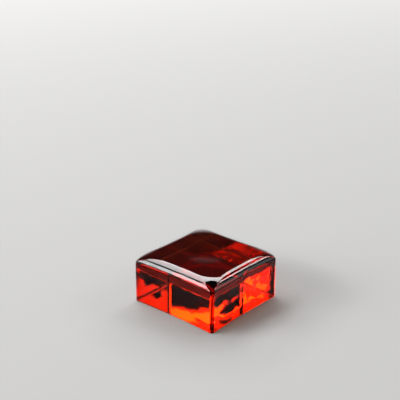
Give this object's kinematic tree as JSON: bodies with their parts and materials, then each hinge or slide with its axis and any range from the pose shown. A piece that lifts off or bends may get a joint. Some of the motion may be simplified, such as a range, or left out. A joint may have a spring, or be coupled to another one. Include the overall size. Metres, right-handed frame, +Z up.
{
  "type": "solid glass block",
  "caption": "Solid square cast glass block in clear red glass, half as thick as wide, with slightly sunk walls, a soft rolled shoulder and a shallow dished top.",
  "frame": {"origin": "middle of the flat underside", "axes": "+Z up, from the flat underside to the dished top; X and Y square to the two pairs of opposite walls"},
  "size_m": [0.0996, 0.0996, 0.05],
  "materials": {
    "red_glass": "clear red cast glass with a fire-polished, gently wavy surface"
  },
  "bodies": {
    "root": {"glass_block": "red_glass"}
  },
  "joints": []
}
